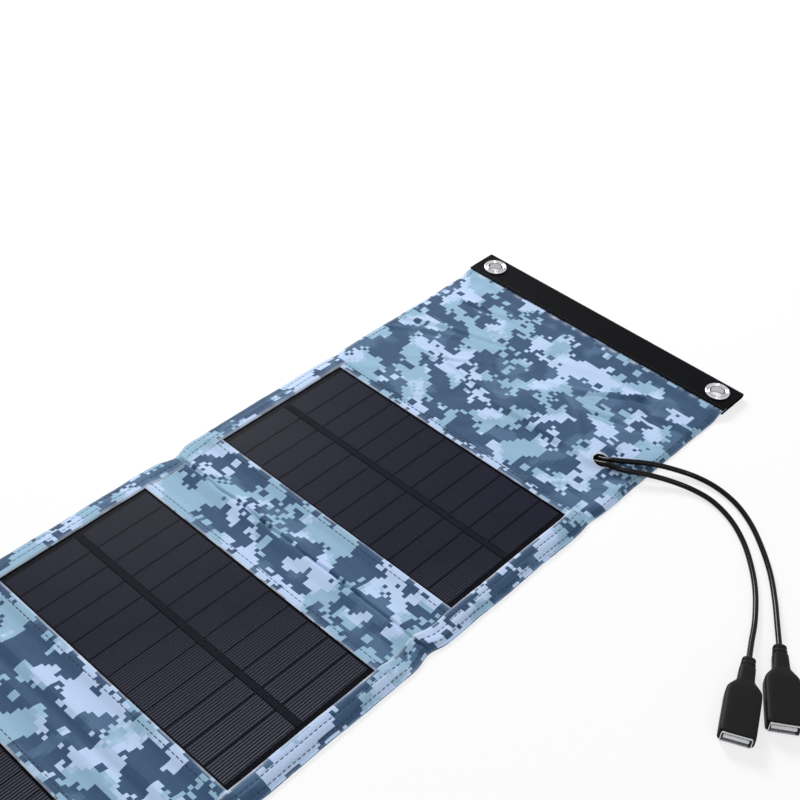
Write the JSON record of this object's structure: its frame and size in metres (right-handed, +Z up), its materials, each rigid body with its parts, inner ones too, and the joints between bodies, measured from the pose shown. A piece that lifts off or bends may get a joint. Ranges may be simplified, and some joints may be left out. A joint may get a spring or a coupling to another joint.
{
  "type": "folding solar panel",
  "caption": "Folding cloth strip of framed solar panels with an eyeleted webbing end and a flap that holds a regulator and cabled USB sockets.",
  "frame": {"origin": "bottom centre of the open strip, without its free cables and sockets", "axes": "+X across the strip to the side of the cables, +Y along it to the webbing end, +Z up from the cells"},
  "size_m": [0.3238, 0.5196, 0.0078],
  "materials": {
    "camouflage_polyester": "matte",
    "coated_webbing": "satin",
    "sewing_thread": "matte",
    "nickel_plated_brass": "polished",
    "panel_board": "matte",
    "silicon_cell": "satin",
    "bus_tape": "satin",
    "cover_film": "clear, lightly textured",
    "tinned_copper": "satin",
    "case_plastic": "matte",
    "circuit_board": "matte",
    "soft_black_plastic": "satin",
    "plated_steel": "bright",
    "white_insulator": "matte",
    "gold_contact": "bright"
  },
  "bodies": {
    "flap": {"flap_front_cloth": "camouflage_polyester", "flap_back_cloth": "camouflage_polyester", "slit_rim": "sewing_thread", "end_webbing": "coated_webbing", "eyelet_left": "nickel_plated_brass", "eyelet_right": "nickel_plated_brass", "eyelet_washer_left": "nickel_plated_brass", "eyelet_washer_right": "nickel_plated_brass", "regulator_tray": "case_plastic", "regulator_lid": "case_plastic", "regulator_board": "circuit_board", "flap_lead": "tinned_copper", "usb_cable_1": "soft_black_plastic", "usb_socket_1_housing": "soft_black_plastic", "usb_socket_1_shell": "plated_steel", "usb_socket_1_tongue": "white_insulator", "usb_socket_1_contact_1": "gold_contact", "usb_socket_1_contact_2": "gold_contact", "usb_socket_1_contact_3": "gold_contact", "usb_socket_1_contact_4": "gold_contact", "usb_cable_2": "soft_black_plastic", "usb_socket_2_housing": "soft_black_plastic", "usb_socket_2_shell": "plated_steel", "usb_socket_2_tongue": "white_insulator", "usb_socket_2_contact_1": "gold_contact", "usb_socket_2_contact_2": "gold_contact", "usb_socket_2_contact_3": "gold_contact", "usb_socket_2_contact_4": "gold_contact", "fold_flap_front_cloth": "camouflage_polyester", "fold_flap_back_cloth": "camouflage_polyester", "fold_flap_lead": "tinned_copper"},
    "panel_1": {"panel_1_board": "panel_board", "panel_1_cells": "silicon_cell", "panel_1_bus_tape": "bus_tape", "panel_1_film": "cover_film", "panel_1_front_cloth": "camouflage_polyester", "panel_1_back_cloth": "camouflage_polyester", "panel_1_lead": "tinned_copper", "fold_12_front_cloth": "camouflage_polyester", "fold_12_back_cloth": "camouflage_polyester", "fold_12_lead": "tinned_copper"},
    "panel_2": {"panel_2_board": "panel_board", "panel_2_cells": "silicon_cell", "panel_2_bus_tape": "bus_tape", "panel_2_film": "cover_film", "panel_2_front_cloth": "camouflage_polyester", "panel_2_back_cloth": "camouflage_polyester", "panel_2_lead": "tinned_copper", "fold_23_front_cloth": "camouflage_polyester", "fold_23_back_cloth": "camouflage_polyester", "fold_23_lead": "tinned_copper"},
    "panel_3": {"panel_3_board": "panel_board", "panel_3_cells": "silicon_cell", "panel_3_bus_tape": "bus_tape", "panel_3_film": "cover_film", "panel_3_front_cloth": "camouflage_polyester", "panel_3_back_cloth": "camouflage_polyester", "panel_3_lead": "tinned_copper"}
  },
  "joints": [
    {"name": "fold_flap", "type": "hinge", "parent": "flap", "child": "panel_1", "pos_m": [0, 0.13725, 0.0099], "axis": [-1, 0, 0], "range_deg": [0, 179.95], "deforming": ["fold_flap_front_cloth", "fold_flap_back_cloth", "fold_flap_lead"]},
    {"name": "fold_12", "type": "hinge", "parent": "panel_1", "child": "panel_2", "pos_m": [0, 0.00275, 0.0063], "axis": [-1, 0, 0], "range_deg": [0, 179.95], "deforming": ["fold_12_front_cloth", "fold_12_back_cloth", "fold_12_lead"]},
    {"name": "fold_23", "type": "hinge", "parent": "panel_2", "child": "panel_3", "pos_m": [0, -0.13425, 0.0041], "axis": [-1, 0, 0], "range_deg": [0, 179.95], "deforming": ["fold_23_front_cloth", "fold_23_back_cloth", "fold_23_lead"]}
  ]
}
